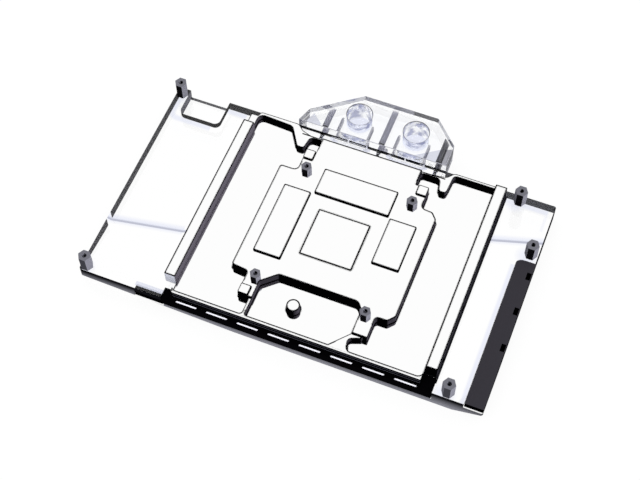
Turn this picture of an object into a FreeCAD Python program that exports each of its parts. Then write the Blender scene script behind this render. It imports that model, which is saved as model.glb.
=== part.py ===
import FreeCAD, Part
import math
import os

# Full-cover water block for a graphics card, seen from the side that meets the card.
# X runs along the card, Y across it, Z up towards the card.
# X = Y = 0 is the middle of the graphics chip, and Z = 0 is the outer face of the clear body.
# All sizes are in millimetres.

# Levels, from the outer face up
body_thick = 10.0
plate_base = 2.3
pocket_depth = 2.9
island_rise = 4.0
gpu_pad_rise = 0.2
memory_pad_rise = 0.85
strip_rise = 5.0
card_gap = 3.2

floor_z = body_thick + plate_base
rim_z = floor_z + pocket_depth
island_z = floor_z + island_rise
strip_z = floor_z + strip_rise
card_level = island_z + card_gap

# How far a cut runs past the face that it opens
over = 1.0

# Clear body outline
body_left = -109.85
body_right = 93.4
body_near = -56.0
body_far = 60.5
body_corner = 1.0

# Facets milled on the near edge of the outer face
facet_left_run = 80.0
facet_left_rise = 3.8
facet_right_run = 14.5
facet_right_rise = 4.4
facet_reach = 26.0

# V-groove on the outer face: its course and its section
groove_course = [(body_left, -22.2), (-74.0, -15.7), (68.5, 34.6), (body_right, 42.0)]
groove_width = 1.6
groove_depth = 0.9

# Blind notch at the far left of the body
notch_left = -103.6
notch_right = -81.6
notch_near = 45.3
notch_floor = 4.0
notch_corner = 3.0

# Water chamber, milled from the plate side
chamber_left = -59.0
chamber_right = 59.0
chamber_near = -34.0
chamber_far = 41.0
chamber_floor = 3.2
chamber_corner = 6.0
duct_wall = 3.0
duct_spread_y = 33.0
plenum_step = 2.0

# Seal round the chamber
seal_section = 2.0
seal_gap = 1.2
seal_side_room = 0.4
seal_groove_width = seal_section + seal_side_room
seal_squeeze = 0.2

# Fins on the wet side of the plate, and the jet plate under them
fin_count = 26
fin_pitch = 1.0
fin_gap = 0.5
fin_height = 1.8
land_x = 16.0
land_y = 18.0
jet_thick = 0.8
jet_slot_width = 1.5
jet_slot_length = 22.0
jet_seat = 4.0
jet_corner = 1.0
jet_clearance = 0.2
plenum_half = 12.0

# Cold plate outline
plate_left = -68.35
plate_right = 68.3
plate_near = -54.0
plate_far = 57.6
plate_far_middle = 53.0
rim_wall = 1.45
strip_left_edge = -62.7
strip_right_edge = 62.5
strip_left_near = -46.9
strip_left_far = 49.0
strip_right_near = -47.9
foot_left = -66.8
foot_far = 55.0
strip_corner = 0.4

# Raised pads on the island, as x0, x1, y0, y1
gpu_pad = (-13.2, 13.2, -13.2, 13.2)
memory_pads = [(-34.4, -20.4, -19.7, 20.5), (-19.1, 19.5, 21.1, 36.0), (20.5, 34.4, -5.9, 20.4)]
square_pads = [(-32.0, -27.0, 38.5, 43.9), (27.4, 32.6, 38.5, 43.9), (-32.3, -27.2, -43.3, -38.2)]
pad_corner = 0.6
post_x = -5.3
post_y = -40.2
post_radius = 3.25

# Screws that hold body and plate together
screw_radius = 1.5
screw_hole_gap = 0.1
screw_head_radius = 2.75
screw_head_height = 2.0
screw_head_sink = 2.4
head_gap = 0.25
screw_bite = 4.0
socket_flats = 2.0
small_socket_flats = 1.3
socket_share = 0.6
side_screw_x = 65.4
side_screw_rows = (-39.7, -11.0, 19.7)
lug_x = 66.5
lug_radius = 2.5
far_screws = [(-65.5, 45.0), (-38.4, 50.0), (0.0, 49.5), (39.2, 49.5), (65.4, 50.0)]
near_screws = [(-29.7, -40.7), (post_x, post_y), (29.0, -40.2)]

# Standoffs that the card is screwed to
outer_left = -106.85
outer_right = 75.5
outer_near = -53.1
outer_far = 57.0
outer_spots = [
    (outer_left, outer_near),
    (outer_left, outer_far),
    (outer_right, outer_far),
    (89.5, 29.8),
    (outer_right, outer_near),
]
inner_span_x = 55.2
inner_span_y = 65.0
outer_flats = 5.5
inner_flats = 4.8
stud_radius = 1.4
stud_length = 4.0
standoff_bore = 1.15
outer_bore_depth = 6.0
inner_bore_depth = 2.4
thread_end_room = 0.5

# Terminal block and its two ports
terminal_top = rim_z
port_x = 15.25
port_y = 74.4
port_radius = 6.58
port_floor = 3.6
port_mouth = 0.2
port_wall = 5.32
terminal_far = port_y + port_radius + port_wall
terminal_outline = [
    (-43.0, body_far),
    (-40.2, 68.4),
    (-16.5, terminal_far),
    (23.1, terminal_far),
    (35.8, 73.2),
    (36.0, body_far),
]
terminal_bevel = 2.2
duct_half = 8.75
duct_bottom = 3.2
duct_top = 6.8
duct_corner = 3.0
terminal_screws_x = (-30.4, 0.2, 30.8)
terminal_screw_z = 5.0
terminal_screw_radius = 1.0
terminal_head_radius = 1.45
terminal_head_height = 2.0
terminal_grip = 2.5
terminal_screw_bite = 7.0
bore_gap = 0.15
oval_seal_gap = 0.8
oval_seal_width = 1.5
oval_seal_depth = 1.2

# Light bar in the near edge
bar_left = -66.9
bar_right = 68.8
bar_back = -50.4
bar_bottom = 3.8
bar_sink = 1.0
bar_top = body_thick - bar_sink
bar_gap = 0.2
bar_roof = 1.0
bar_front_wall = 0.5
bar_floor = 1.0
bar_end = 6.0
bar_corner = 0.5
slot_pitch = 15.7
slot_first = -54.2
slot_length = 10.9
slot_width = 1.2
slot_y = -54.8
strip_gap = 0.3
diffuser_thick = 0.8
diffuser_depth = 2.6
board_thick = 0.8
board_y = -53.7
chip_length = 3.5
chip_height = 1.4
chip_depth = 1.6
chip_rise = 0.5
tab_left = 62.7
tab_near = -53.9
tab_back = -48.3
tab_thick = 5.0
tab_corner = 0.8
bar_screw_radius = 1.0
bar_head_radius = 1.9
bar_head_height = 1.3
bar_head_sink = 1.5
tab_bite = 1.8
bar_screw_top = body_thick - tab_thick + tab_bite
bar_screws_at = [(-63.6, -53.2), (65.5, -51.0)]

# Slot beside the bar's left end, where its lead leaves through an arm of the cover
lead_slot_left = -81.0
lead_slot_back = -52.6
lead_slot_bottom = 2.0
lead_slot_top = 6.6
lead_wall = 0.6
lead_way = 1.0

# As many light slots as the bar has room for, up to its screw tab
slot_count = int((tab_left - slot_first - slot_length / 2) / slot_pitch) + 1

# End cover, set flush into the right end of the body
cover_width = 9.4
cover_left = body_right - cover_width
cover_far = 25.8
cover_thick = 3.5
cover_corner = 3.0
cover_edge_corner = 0.4
cover_gap = 0.15
cover_near_gap = 0.6
clip_rows = (17.9, -2.2, -22.6)
clip_width = 2.2
clip_length = 4.1
clip_inset = 0.3
clip_depth = 2.4


def vec(x, y, z=0.0):
    return FreeCAD.Vector(x, y, z)


def outline(corners, z):
    """Closed wire through the corners. A corner written (x, y, r) is rounded by a tangent arc."""
    points = [vec(c[0], c[1], z) for c in corners]
    radii = [c[2] if len(c) > 2 else 0.0 for c in corners]
    edges = []
    ends = []
    for i, point in enumerate(points):
        before = (points[i - 1] - point).normalize()
        after = (points[(i + 1) % len(points)] - point).normalize()
        if radii[i] == 0.0:
            ends.append((point, None, point))
            continue
        half = before.getAngle(after) / 2.0
        reach = radii[i] / math.tan(half)
        middle = (before + after).normalize()
        crown = point + middle * (radii[i] / math.sin(half) - radii[i])
        ends.append((point + before * reach, crown, point + after * reach))
    for i, (start, crown, end) in enumerate(ends):
        if crown is not None:
            edges.append(Part.Arc(start, crown, end).toShape())
        following = ends[(i + 1) % len(ends)][0]
        if (following - end).Length > 1e-6:
            edges.append(Part.LineSegment(end, following).toShape())
    return Part.Wire(edges)


def prism(corners, z0, z1):
    return Part.Face(outline(corners, z0)).extrude(vec(0, 0, z1 - z0))


def block(x0, x1, y0, y1, z0, z1):
    return Part.makeBox(x1 - x0, y1 - y0, z1 - z0, vec(x0, y0, z0))


def soft_block(x0, x1, y0, y1, z0, z1, radius):
    corners = [(x0, y0, radius), (x1, y0, radius), (x1, y1, radius), (x0, y1, radius)]
    return prism(corners, z0, z1)


def rod(x, y, z0, z1, radius):
    return Part.makeCylinder(radius, z1 - z0, vec(x, y, z0))


def rod_along_y(x, z, y0, y1, radius):
    return Part.makeCylinder(radius, y1 - y0, vec(x, y0, z), vec(0, 1, 0))


def hexagon(x, y, z0, z1, flats):
    corner = flats / math.sqrt(3.0)
    points = []
    for step in range(6):
        angle = math.radians(60.0 * step)
        points.append((x + corner * math.cos(angle), y + corner * math.sin(angle)))
    return prism(points, z0, z1)


def oval_along_y(x, z, half_x, half_z, y0, y1):
    """Flat-sided oval in the XZ plane, extruded along Y."""
    straight = half_x - half_z
    top_left = vec(x - straight, y0, z + half_z)
    top_right = vec(x + straight, y0, z + half_z)
    low_right = vec(x + straight, y0, z - half_z)
    low_left = vec(x - straight, y0, z - half_z)
    edges = [
        Part.LineSegment(top_left, top_right).toShape(),
        Part.Arc(top_right, vec(x + half_x, y0, z), low_right).toShape(),
        Part.LineSegment(low_right, low_left).toShape(),
        Part.Arc(low_left, vec(x - half_x, y0, z), top_left).toShape(),
    ]
    return Part.Face(Part.Wire(edges)).extrude(vec(0, y1 - y0, 0))


def joined(shapes):
    first = shapes[0]
    if len(shapes) == 1:
        return first
    return first.multiFuse(shapes[1:]).removeSplitter()


def chamber_outline(offset):
    """The chamber's rounded rectangle, grown by an offset."""
    radius = chamber_corner + offset
    x0 = chamber_left - offset
    x1 = chamber_right + offset
    y0 = chamber_near - offset
    y1 = chamber_far + offset
    return [(x0, y0, radius), (x1, y0, radius), (x1, y1, radius), (x0, y1, radius)]


def plate_screws():
    """Every body-to-plate screw, as x, y."""
    sides = [(sign * side_screw_x, y) for sign in (-1, 1) for y in side_screw_rows]
    return sides + far_screws + near_screws


def inner_spots():
    half_x = inner_span_x / 2.0
    half_y = inner_span_y / 2.0
    return [(-half_x, -half_y), (-half_x, half_y), (half_x, half_y), (half_x, -half_y)]


def corner_facet(x_end, run, rise):
    """Wedge that slices the near end corner of the outer face, from the end towards the middle."""
    lowest = vec(x_end, body_near, 0)
    up = vec(x_end, body_near, rise)
    along = vec(x_end + run, body_near, 0)
    across = vec(x_end, body_near + facet_reach, 0)
    faces = []
    for trio in ((lowest, along, up), (lowest, up, across), (lowest, across, along), (along, across, up)):
        faces.append(Part.Face(Part.makePolygon([trio[0], trio[1], trio[2], trio[0]])))
    return Part.Solid(Part.Shell(faces))


def front_groove():
    """V-section carried along the groove's course on the outer face."""
    course = [vec(x, y, 0) for x, y in groove_course]
    stretch = (course[1] - course[0]).normalize()
    course[0] = course[0] - stretch * groove_width
    last = (course[-1] - course[-2]).normalize()
    course[-1] = course[-1] + last * groove_width
    side = vec(-stretch.y, stretch.x, 0) * (groove_width / 2.0)
    start = course[0]
    section = [start + side, start + vec(0, 0, groove_depth), start - side, start + side]
    path = Part.Wire([Part.LineSegment(a, b).toShape() for a, b in zip(course, course[1:])])
    sweep = Part.BRepOffsetAPI.MakePipeShell(path)
    sweep.setTransitionMode(1)
    sweep.add(Part.makePolygon(section))
    sweep.build()
    sweep.makeSolid()
    return sweep.shape()


def inlet_course(offset):
    """Inlet duct from the far wall, spreading into the plenum, grown by an offset."""
    left = -port_x - duct_half
    right = -port_x + duct_half
    return [
        (left - offset, body_far + over),
        (left - offset, duct_spread_y),
        (-plenum_half - offset, land_y + plenum_step),
        (-plenum_half - offset, -plenum_half - offset),
        (plenum_half + offset, -plenum_half - offset),
        (plenum_half + offset, land_y - plenum_step + offset),
        (right + offset, duct_spread_y),
        (right + offset, body_far + over),
    ]


def water_space():
    """Everything that the water fills inside the body."""
    top = body_thick + over
    chamber = prism(chamber_outline(0.0), chamber_floor, top)
    ledge_top = body_thick - fin_height - jet_thick
    ledge_reach = plenum_half + jet_seat + over
    ledge = block(-ledge_reach, ledge_reach, -ledge_reach, land_y + over, chamber_floor, ledge_top)
    walls = prism(inlet_course(duct_wall), chamber_floor, top)
    past = 2 * over
    walls = walls.cut([
        block(chamber_left, chamber_right, chamber_near, land_y + jet_clearance, ledge_top, top + over),
        block(chamber_left, chamber_right, chamber_far, body_far + past, chamber_floor - over, top + over),
    ])
    chamber = chamber.cut(joined([ledge, walls]))
    open_duct = prism(inlet_course(0.0), chamber_floor, top)
    open_duct = open_duct.common(block(chamber_left, chamber_right, chamber_near, chamber_far, 0, top))
    ducts = []
    for side in (-1, 1):
        x = side * port_x
        y0 = chamber_far - over
        ducts.append(block(x - duct_half, x + duct_half, y0, body_far + over, duct_bottom, duct_top))
    return joined([chamber, open_duct] + ducts)


def make_body():
    corners = [
        (body_left, body_near, body_corner),
        (body_right, body_near, body_corner),
        (body_right, body_far, body_corner),
        (body_left, body_far, body_corner),
    ]
    body = prism(corners, 0, body_thick)
    top = body_thick + over
    cuts = [
        corner_facet(body_left, facet_left_run, facet_left_rise),
        corner_facet(body_right, -facet_right_run, facet_right_rise),
        front_groove(),
        water_space(),
        seal_groove(),
    ]
    notch = [
        (notch_left, notch_near, notch_corner),
        (notch_right, notch_near, notch_corner),
        (notch_right, body_far + over),
        (notch_left, body_far + over),
    ]
    cuts.append(prism(notch, notch_floor, top))
    cover_seat = [
        (cover_left, body_near - over),
        (body_right + over, body_near - over),
        (body_right + over, cover_far),
        (cover_left, cover_far, cover_corner),
    ]
    cuts.append(prism(cover_seat, body_thick - cover_thick, top))
    cuts += bar_recess()
    hole = screw_radius + screw_hole_gap
    for x, y in plate_screws():
        cuts.append(rod(x, y, -over, top, hole))
        cuts.append(rod(x, y, -over, screw_head_sink, screw_head_radius + head_gap))
    for x, y in outer_spots:
        cuts.append(rod(x, y, body_thick - stud_length - thread_end_room, top, stud_radius))
    screw_end = body_far - terminal_screw_bite - thread_end_room
    for x in terminal_screws_x:
        cuts.append(rod_along_y(x, terminal_screw_z, screw_end, body_far + over, terminal_screw_radius))
    return body.cut(cuts)


def seal_groove():
    bottom = body_thick - seal_section + seal_squeeze
    groove = prism(chamber_outline(seal_gap + seal_groove_width), bottom, body_thick + over)
    return groove.cut(prism(chamber_outline(seal_gap), bottom - over, body_thick + 2 * over))


def bar_recess():
    """Channel for the light bar, with its tab's seat, its lead's slot and its screws' holes."""
    top = body_thick + over
    tab_floor = body_thick - tab_thick - bar_gap
    voids = [
        block(bar_left, bar_right, body_near - over, bar_back, bar_bottom, top),
        block(tab_left - bar_gap, bar_right, bar_back - over, tab_back + bar_gap, tab_floor, top),
    ]
    slot_right = bar_left + over
    y0 = body_near - over
    voids.append(block(lead_slot_left, slot_right, y0, lead_slot_back, lead_slot_bottom, lead_slot_top))
    for x, y in bar_screws_at:
        voids.append(rod(x, y, -over, tab_floor, bar_screw_radius + screw_hole_gap))
        voids.append(rod(x, y, -over, bar_head_sink, bar_head_radius + head_gap))
    return voids


def plate_edge():
    """Outline of the cold plate, anticlockwise from the near left."""
    return [
        (-62.3, plate_near, 1.6),
        (strip_right_edge + 0.4, plate_near, 1.0),
        (strip_right_edge + 0.4, strip_right_near),
        (plate_right, strip_right_near, 0.4),
        (plate_right, plate_far, 0.4),
        (41.3, plate_far, 3.0),
        (38.2, plate_far_middle + 0.9, 3.0),
        (30.0, plate_far_middle, 6.0),
        (-33.5, plate_far_middle, 6.0),
        (-38.4, plate_far_middle + 1.6, 3.0),
        (-41.6, plate_far, 3.0),
        (strip_left_edge + 0.2, plate_far, 1.5),
        (strip_left_edge - 0.3, foot_far),
        (foot_left, foot_far, 0.4),
        (foot_left, strip_left_far),
        (plate_left, strip_left_far, 0.4),
        (plate_left, strip_left_near, 0.4),
        (-62.3, strip_left_near),
    ]


def pocket_fields():
    """The three component pockets. Their inner sides run under the island, which covers them."""
    near = plate_near + rim_wall
    far = plate_far - rim_wall
    left = [
        (strip_left_edge, near, 2.6),
        (-26.4, near, 1.6),
        (-26.4, -40.0),
        (-15.0, -20.0),
        (-15.0, 40.0),
        (-27.2, 42.0),
        (-27.2, 52.0, 1.0),
        (-33.2, 52.0, 2.2),
        (-34.2, 44.8, 1.4),
        (-37.9, 44.8, 1.6),
        (-44.4, far - 1.0, 3.0),
        (strip_left_edge, far, 3.0),
    ]
    right = [
        (26.0, near, 2.6),
        (strip_right_edge, near, 3.0),
        (strip_right_edge, far, 0.6),
        (41.6, far, 1.8),
        (40.9, 45.0, 1.6),
        (37.0, 45.0, 1.6),
        (35.6, 52.0, 2.6),
        (25.8, 52.0, 1.8),
        (25.8, 42.0),
        (15.0, 40.0),
        (15.0, -20.0),
        (30.5, -40.0),
        (30.5, -44.2, 1.0),
        (24.2, -46.6, 2.2),
    ]
    middle = [
        (-24.9, near, 1.2),
        (16.8, near, 0.8),
        (24.9, -43.5, 0.8),
        (24.9, -20.0),
        (-24.9, -20.0),
    ]
    return [left, right, middle]


def island_edge():
    """Outline of the raised island that carries the pads and the inner standoffs."""
    return [
        (-27.0, 43.9),
        (-32.0, 43.9, 0.4),
        (-32.0, 30.9, 2.4),
        (-40.95, 30.9, 1.3),
        (-40.95, -30.2, 1.3),
        (-32.3, -31.0, 1.6),
        (-32.3, -43.4, 0.3),
        (-24.9, -43.4),
        (-24.9, -34.2, 1.0),
        (-17.6, -27.5, 2.0),
        (22.0, -27.5, 2.6),
        (24.9, -31.2, 1.0),
        (25.2, -43.5),
        (32.7, -43.5, 0.3),
        (32.7, -32.1, 1.6),
        (38.4, -32.1, 1.6),
        (41.4, -28.6, 1.6),
        (41.5, 28.2, 1.6),
        (38.6, 31.6, 1.6),
        (32.6, 32.1, 2.4),
        (32.6, 43.9, 0.4),
        (25.7, 43.9),
        (25.7, plate_far_middle),
        (-27.0, plate_far_middle),
    ]


def make_plate():
    base = prism(plate_edge(), body_thick, floor_z)
    rim = prism(plate_edge(), floor_z, rim_z)
    fields = [prism(field, floor_z - over, rim_z + over) for field in pocket_fields()]
    rim = rim.cut(fields)
    raised = [base, rim, prism(island_edge(), body_thick, island_z)]
    raised.append(soft_block(*gpu_pad, body_thick, island_z + gpu_pad_rise, pad_corner))
    for pad in memory_pads + square_pads:
        raised.append(soft_block(*pad, body_thick, island_z + memory_pad_rise, pad_corner))
    left_strip = (plate_left, strip_left_edge, strip_left_near, strip_left_far)
    right_strip = (strip_right_edge, plate_right, strip_right_near, plate_far)
    for strip in (left_strip, right_strip):
        raised.append(soft_block(*strip, body_thick, strip_z, strip_corner))
    raised.append(rod(post_x, post_y, body_thick, island_z, post_radius))
    for sign in (-1, 1):
        for y in side_screw_rows:
            raised.append(rod(sign * lug_x, y, body_thick, floor_z, lug_radius))
    plate = joined(raised).fuse(finned_land()).removeSplitter()
    holes = []
    for x, y in plate_screws():
        holes.append(rod(x, y, body_thick - over, body_thick + screw_bite + thread_end_room, screw_radius))
    for x, y in inner_spots():
        holes.append(rod(x, y, island_z - stud_length - thread_end_room, island_z + over, stud_radius))
    return plate.cut(holes)


def finned_land():
    """Raised land on the wet side, sawn into fins that run along X."""
    low = body_thick - fin_height
    land = block(-land_x, land_x, -land_y, land_y, low, body_thick)
    gaps = []
    for i in range(fin_count + 1):
        y = (i - fin_count / 2.0) * fin_pitch
        y0 = y - fin_gap / 2
        gaps.append(block(-land_x - over, land_x + over, y0, y0 + fin_gap, low - over, body_thick))
    return land.cut(gaps)


def make_jet_plate():
    top = body_thick - fin_height
    low = top - jet_thick
    reach = plenum_half + jet_seat
    sheet = soft_block(-reach, reach, -reach, land_y, low, top, jet_corner)
    half_width = jet_slot_width / 2
    half_length = jet_slot_length / 2
    cut = (-half_width, half_width, -half_length, half_length, low - over, top + over)
    return sheet.cut(soft_block(*cut, half_width))


def make_main_seal():
    """Round cord pressed flat between groove and plate, with small flats top and bottom."""
    middle = seal_gap + seal_groove_width / 2
    half = seal_section / 2
    bottom = body_thick - seal_section + seal_squeeze
    ring = prism(chamber_outline(middle + half), bottom, body_thick)
    return ring.cut(prism(chamber_outline(middle - half), bottom - over, body_thick + over))


def terminal_ports():
    """Threaded ports on top, and the ducts that lead from them to the joint."""
    voids = []
    for side in (-1, 1):
        x = side * port_x
        voids.append(rod(x, port_y, port_floor, terminal_top + over, port_radius))
        base = vec(x, port_y, terminal_top - port_mouth)
        voids.append(Part.makeCone(port_radius, port_radius + port_mouth, port_mouth, base))
        duct = [
            (x - duct_half, body_far - over),
            (x + duct_half, body_far - over),
            (x + duct_half, port_y, duct_corner),
            (x - duct_half, port_y, duct_corner),
        ]
        voids.append(prism(duct, duct_bottom, duct_top))
    return voids


def make_terminal():
    terminal = prism(terminal_outline, 0, terminal_top)
    bevels = []
    for edge in terminal.Edges:
        low = all(abs(v.Point.z) < 1e-6 for v in edge.Vertexes)
        at_joint = all(abs(v.Point.y - body_far) < 1e-6 for v in edge.Vertexes)
        if low and not at_joint:
            bevels.append(edge)
    terminal = terminal.makeChamfer(terminal_bevel, bevels)
    cuts = terminal_ports()
    seat = body_far + terminal_grip
    for x in terminal_screws_x:
        hole = terminal_screw_radius + screw_hole_gap
        cuts.append(rod_along_y(x, terminal_screw_z, body_far - over, seat + over, hole))
        bore = terminal_head_radius + bore_gap
        cuts.append(rod_along_y(x, terminal_screw_z, seat, terminal_far + over, bore))
    for side in (-1, 1):
        cuts.append(oval_ring(side * port_x, body_far - over, body_far + oval_seal_depth))
    return terminal.cut(cuts)


def oval_ring(x, y0, y1):
    """Ring round the mouth of a duct, the form of the seal and of its groove."""
    z = (duct_bottom + duct_top) / 2
    inner_x = duct_half + oval_seal_gap
    inner_z = (duct_top - duct_bottom) / 2 + oval_seal_gap
    ring = oval_along_y(x, z, inner_x + oval_seal_width, inner_z + oval_seal_width, y0, y1)
    return ring.cut(oval_along_y(x, z, inner_x, inner_z, y0 - over, y1 + over))


def make_terminal_seals():
    return [oval_ring(side * port_x, body_far, body_far + oval_seal_depth) for side in (-1, 1)]


def cap_screw(radius, length, head_radius, head_height, key_flats):
    """Cap screw standing on its head at the origin, thread upwards, with a hexagon socket."""
    head = rod(0, 0, 0, head_height, head_radius)
    shank = rod(0, 0, head_height, head_height + length, radius)
    key = hexagon(0, 0, -over, head_height * socket_share, key_flats)
    return head.fuse(shank).removeSplitter().cut(key)


def make_body_screws():
    length = body_thick + screw_bite - screw_head_sink
    screws = []
    for x, y in plate_screws():
        screw = cap_screw(screw_radius, length, screw_head_radius, screw_head_height, socket_flats)
        screw.translate(vec(x, y, screw_head_sink - screw_head_height))
        screws.append(screw)
    return screws


def make_terminal_screws():
    """Slim screws along Y, sunk in long bores, from the terminal into the far wall of the body."""
    length = terminal_grip + terminal_screw_bite
    top = body_far + terminal_grip + terminal_head_height
    screws = []
    for x in terminal_screws_x:
        screw = cap_screw(
            terminal_screw_radius,
            length,
            terminal_head_radius,
            terminal_head_height,
            small_socket_flats,
        )
        screw.rotate(vec(0, 0, 0), vec(1, 0, 0), 90)
        screw.translate(vec(x, top, terminal_screw_z))
        screws.append(screw)
    return screws


def standoff(x, y, bottom, flats, bore_depth):
    """Hexagon spacer with a threaded stud below and a threaded bore on top."""
    post = hexagon(x, y, bottom, card_level, flats)
    post = post.fuse(rod(x, y, bottom - stud_length, bottom, stud_radius)).removeSplitter()
    return post.cut(rod(x, y, card_level - bore_depth, card_level + over, standoff_bore))


def bar_slots(z0, z1):
    slots = []
    half_width = slot_width / 2
    half_length = slot_length / 2
    for i in range(slot_count):
        x = slot_first + i * slot_pitch
        y0 = slot_y - half_width
        y1 = slot_y + half_width
        slots.append(soft_block(x - half_length, x + half_length, y0, y1, z0, z1, half_width))
    return slots


def lead_arm():
    """Arm of the bar's cover that fills the lead's slot. Its channel opens to the near side."""
    x0 = lead_slot_left + bar_gap
    x1 = bar_left + bar_end
    y0 = body_near + bar_front_wall
    y1 = lead_slot_back - bar_gap
    z0 = lead_slot_bottom + bar_gap
    z1 = lead_slot_top - bar_gap
    arm = block(x0, x1, y0, y1, z0, z1)
    low = z0 + lead_wall
    high = z1 - lead_wall
    return arm.cut(block(x0 + lead_wall, bar_left, y0 - over, y1 - lead_wall, low, high))


def make_bar_cover():
    """Black channel, open towards the body, with light slots in its roof and a screw tab."""
    x0 = bar_left + bar_gap
    x1 = bar_right - bar_gap
    back = bar_back - bar_gap
    low = bar_bottom
    roof = bar_top - bar_roof
    shell = soft_block(x0, x1, body_near, back, low, bar_top, bar_corner)
    inner = block(x0 + bar_end, tab_left, body_near + bar_front_wall, back + over, low + bar_floor, roof)
    tab = soft_block(tab_left, x1, tab_near, tab_back, body_thick - tab_thick, body_thick, tab_corner)
    arm = lead_arm().cut(block(x0, bar_right, body_near, bar_back, 0, low))
    cover = joined([shell, tab, arm]).cut([inner] + bar_slots(roof - over, bar_top + over))
    y0 = body_near + bar_front_wall
    way_top = lead_slot_top - bar_gap - lead_wall
    holes = [block(bar_left - over, x0 + bar_end + over, y0, y0 + lead_way, low + bar_floor, way_top)]
    for x, y in bar_screws_at:
        holes.append(rod(x, y, low - over, bar_screw_top + thread_end_room, bar_screw_radius))
    return cover.cut(holes)


def make_diffuser():
    x0 = bar_left + bar_gap + bar_end + strip_gap
    roof = bar_top - bar_roof
    near = body_near + bar_front_wall + bar_gap / 2
    return block(x0, tab_left - strip_gap, near, near + diffuser_depth, roof - diffuser_thick, roof)


def make_board():
    x0 = bar_left + bar_gap + bar_end + strip_gap
    top = bar_top - bar_roof - diffuser_thick
    return block(x0, tab_left - strip_gap, board_y, board_y + board_thick, bar_bottom + bar_floor, top)


def make_chips():
    low = bar_bottom + bar_floor + chip_rise
    y0 = board_y + board_thick
    chips = []
    for i in range(slot_count):
        x0 = slot_first + i * slot_pitch - chip_length / 2
        chips.append(block(x0, x0 + chip_length, y0, y0 + chip_depth, low, low + chip_height))
    return chips


def make_bar_screws():
    length = bar_screw_top - bar_head_sink
    screws = []
    for x, y in bar_screws_at:
        screw = cap_screw(bar_screw_radius, length, bar_head_radius, bar_head_height, small_socket_flats)
        screw.translate(vec(x, y, bar_head_sink - bar_head_height))
        screws.append(screw)
    return screws


def make_end_cover():
    """Flush cover with three blind pockets for clips along its outer edge."""
    corners = [
        (cover_left + cover_gap, body_near + cover_near_gap, cover_edge_corner),
        (body_right, body_near + cover_near_gap, cover_edge_corner),
        (body_right, cover_far - cover_gap, cover_edge_corner),
        (cover_left + cover_gap, cover_far - cover_gap, cover_corner),
    ]
    cover = prism(corners, body_thick - cover_thick, body_thick)
    x1 = body_right - clip_inset
    x0 = x1 - clip_width
    pockets = []
    for y in clip_rows:
        y0 = y - clip_length / 2
        pockets.append(block(x0, x1, y0, y0 + clip_length, body_thick - clip_depth, body_thick + over))
    return cover.cut(pockets)


def save(name, shapes):
    solids = shapes if isinstance(shapes, list) else [shapes]
    whole = solids[0] if len(solids) == 1 else Part.makeCompound(solids)
    whole.exportStep("parts/" + name + ".step")
    state = "valid" if whole.isValid() else "NOT VALID"
    print(name, len(whole.Solids), "solids", round(whole.Volume, 1), "mm3", state)


def main():
    os.makedirs("parts", exist_ok=True)
    save("clear_body", make_body())
    save("cold_plate", make_plate())
    save("jet_plate", make_jet_plate())
    save("main_seal", make_main_seal())
    save("terminal_block", make_terminal())
    save("terminal_seals", make_terminal_seals())
    save("terminal_screws", make_terminal_screws())
    save("body_screws", make_body_screws())
    for i, (x, y) in enumerate(outer_spots):
        save("outer_standoff_" + str(i + 1), standoff(x, y, body_thick, outer_flats, outer_bore_depth))
    for i, (x, y) in enumerate(inner_spots()):
        save("inner_standoff_" + str(i + 1), standoff(x, y, island_z, inner_flats, inner_bore_depth))
    save("led_cover", make_bar_cover())
    save("led_diffuser", make_diffuser())
    save("led_board", make_board())
    save("led_chips", make_chips())
    save("led_cover_screws", make_bar_screws())
    save("end_cover", make_end_cover())


main()
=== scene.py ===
import bpy
import numpy as np
from mathutils import Matrix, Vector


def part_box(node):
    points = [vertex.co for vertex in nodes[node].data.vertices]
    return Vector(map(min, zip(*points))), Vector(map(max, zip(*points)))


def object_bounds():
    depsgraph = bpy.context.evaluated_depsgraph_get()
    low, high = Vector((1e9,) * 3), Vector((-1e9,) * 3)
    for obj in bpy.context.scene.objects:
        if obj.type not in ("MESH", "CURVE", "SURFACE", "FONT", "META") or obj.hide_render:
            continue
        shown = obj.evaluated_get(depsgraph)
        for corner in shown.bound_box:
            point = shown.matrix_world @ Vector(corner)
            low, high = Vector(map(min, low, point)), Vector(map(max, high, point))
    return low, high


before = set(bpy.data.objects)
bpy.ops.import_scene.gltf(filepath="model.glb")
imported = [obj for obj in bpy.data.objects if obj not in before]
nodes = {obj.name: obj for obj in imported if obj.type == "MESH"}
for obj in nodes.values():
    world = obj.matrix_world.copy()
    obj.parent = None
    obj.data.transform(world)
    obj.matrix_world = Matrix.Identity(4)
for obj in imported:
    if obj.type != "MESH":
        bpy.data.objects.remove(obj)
cadLow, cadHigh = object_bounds()
print("frame loaded:", len(nodes), "nodes")

mm = 0.001
scene = bpy.context.scene
scene.view_settings.view_transform = "Standard"

slack = 0.1 * mm  # how far a point may lie off a named place and still count as on it
square = 0.9  # a face with more of an axis than this in its direction is square to that axis
facing = 0.7  # with more than this it looks mostly that way
flatEnough = 0.6  # with more of Z than this it is one of the flats
upright = 0.25  # and with less of Z than this it is a wall
edgeSamples = 12  # rays that feel for an edge beside a point


def hexColour(text):
    # sRGB hex to the linear values that a socket takes
    values = []
    for i in (0, 2, 4):
        c = int(text[i:i + 2], 16) / 255
        values.append(c / 12.92 if c <= 0.04045 else ((c + 0.055) / 1.055) ** 2.4)
    return (*values, 1.0)


def addNode(tree, kind, settings=None, inputs=None):
    # one node, with its settings and its sockets filled or linked; a text input is a hex colour
    node = tree.nodes.new(kind)
    for key, value in (settings or {}).items():
        setattr(node, key, value)
    for key, value in (inputs or {}).items():
        if isinstance(value, Field):
            value = value.socket
        if isinstance(value, str):
            value = hexColour(value)
        if isinstance(value, bpy.types.NodeSocket):
            tree.links.new(value, node.inputs[key])
        else:
            node.inputs[key].default_value = value
    return node


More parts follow.
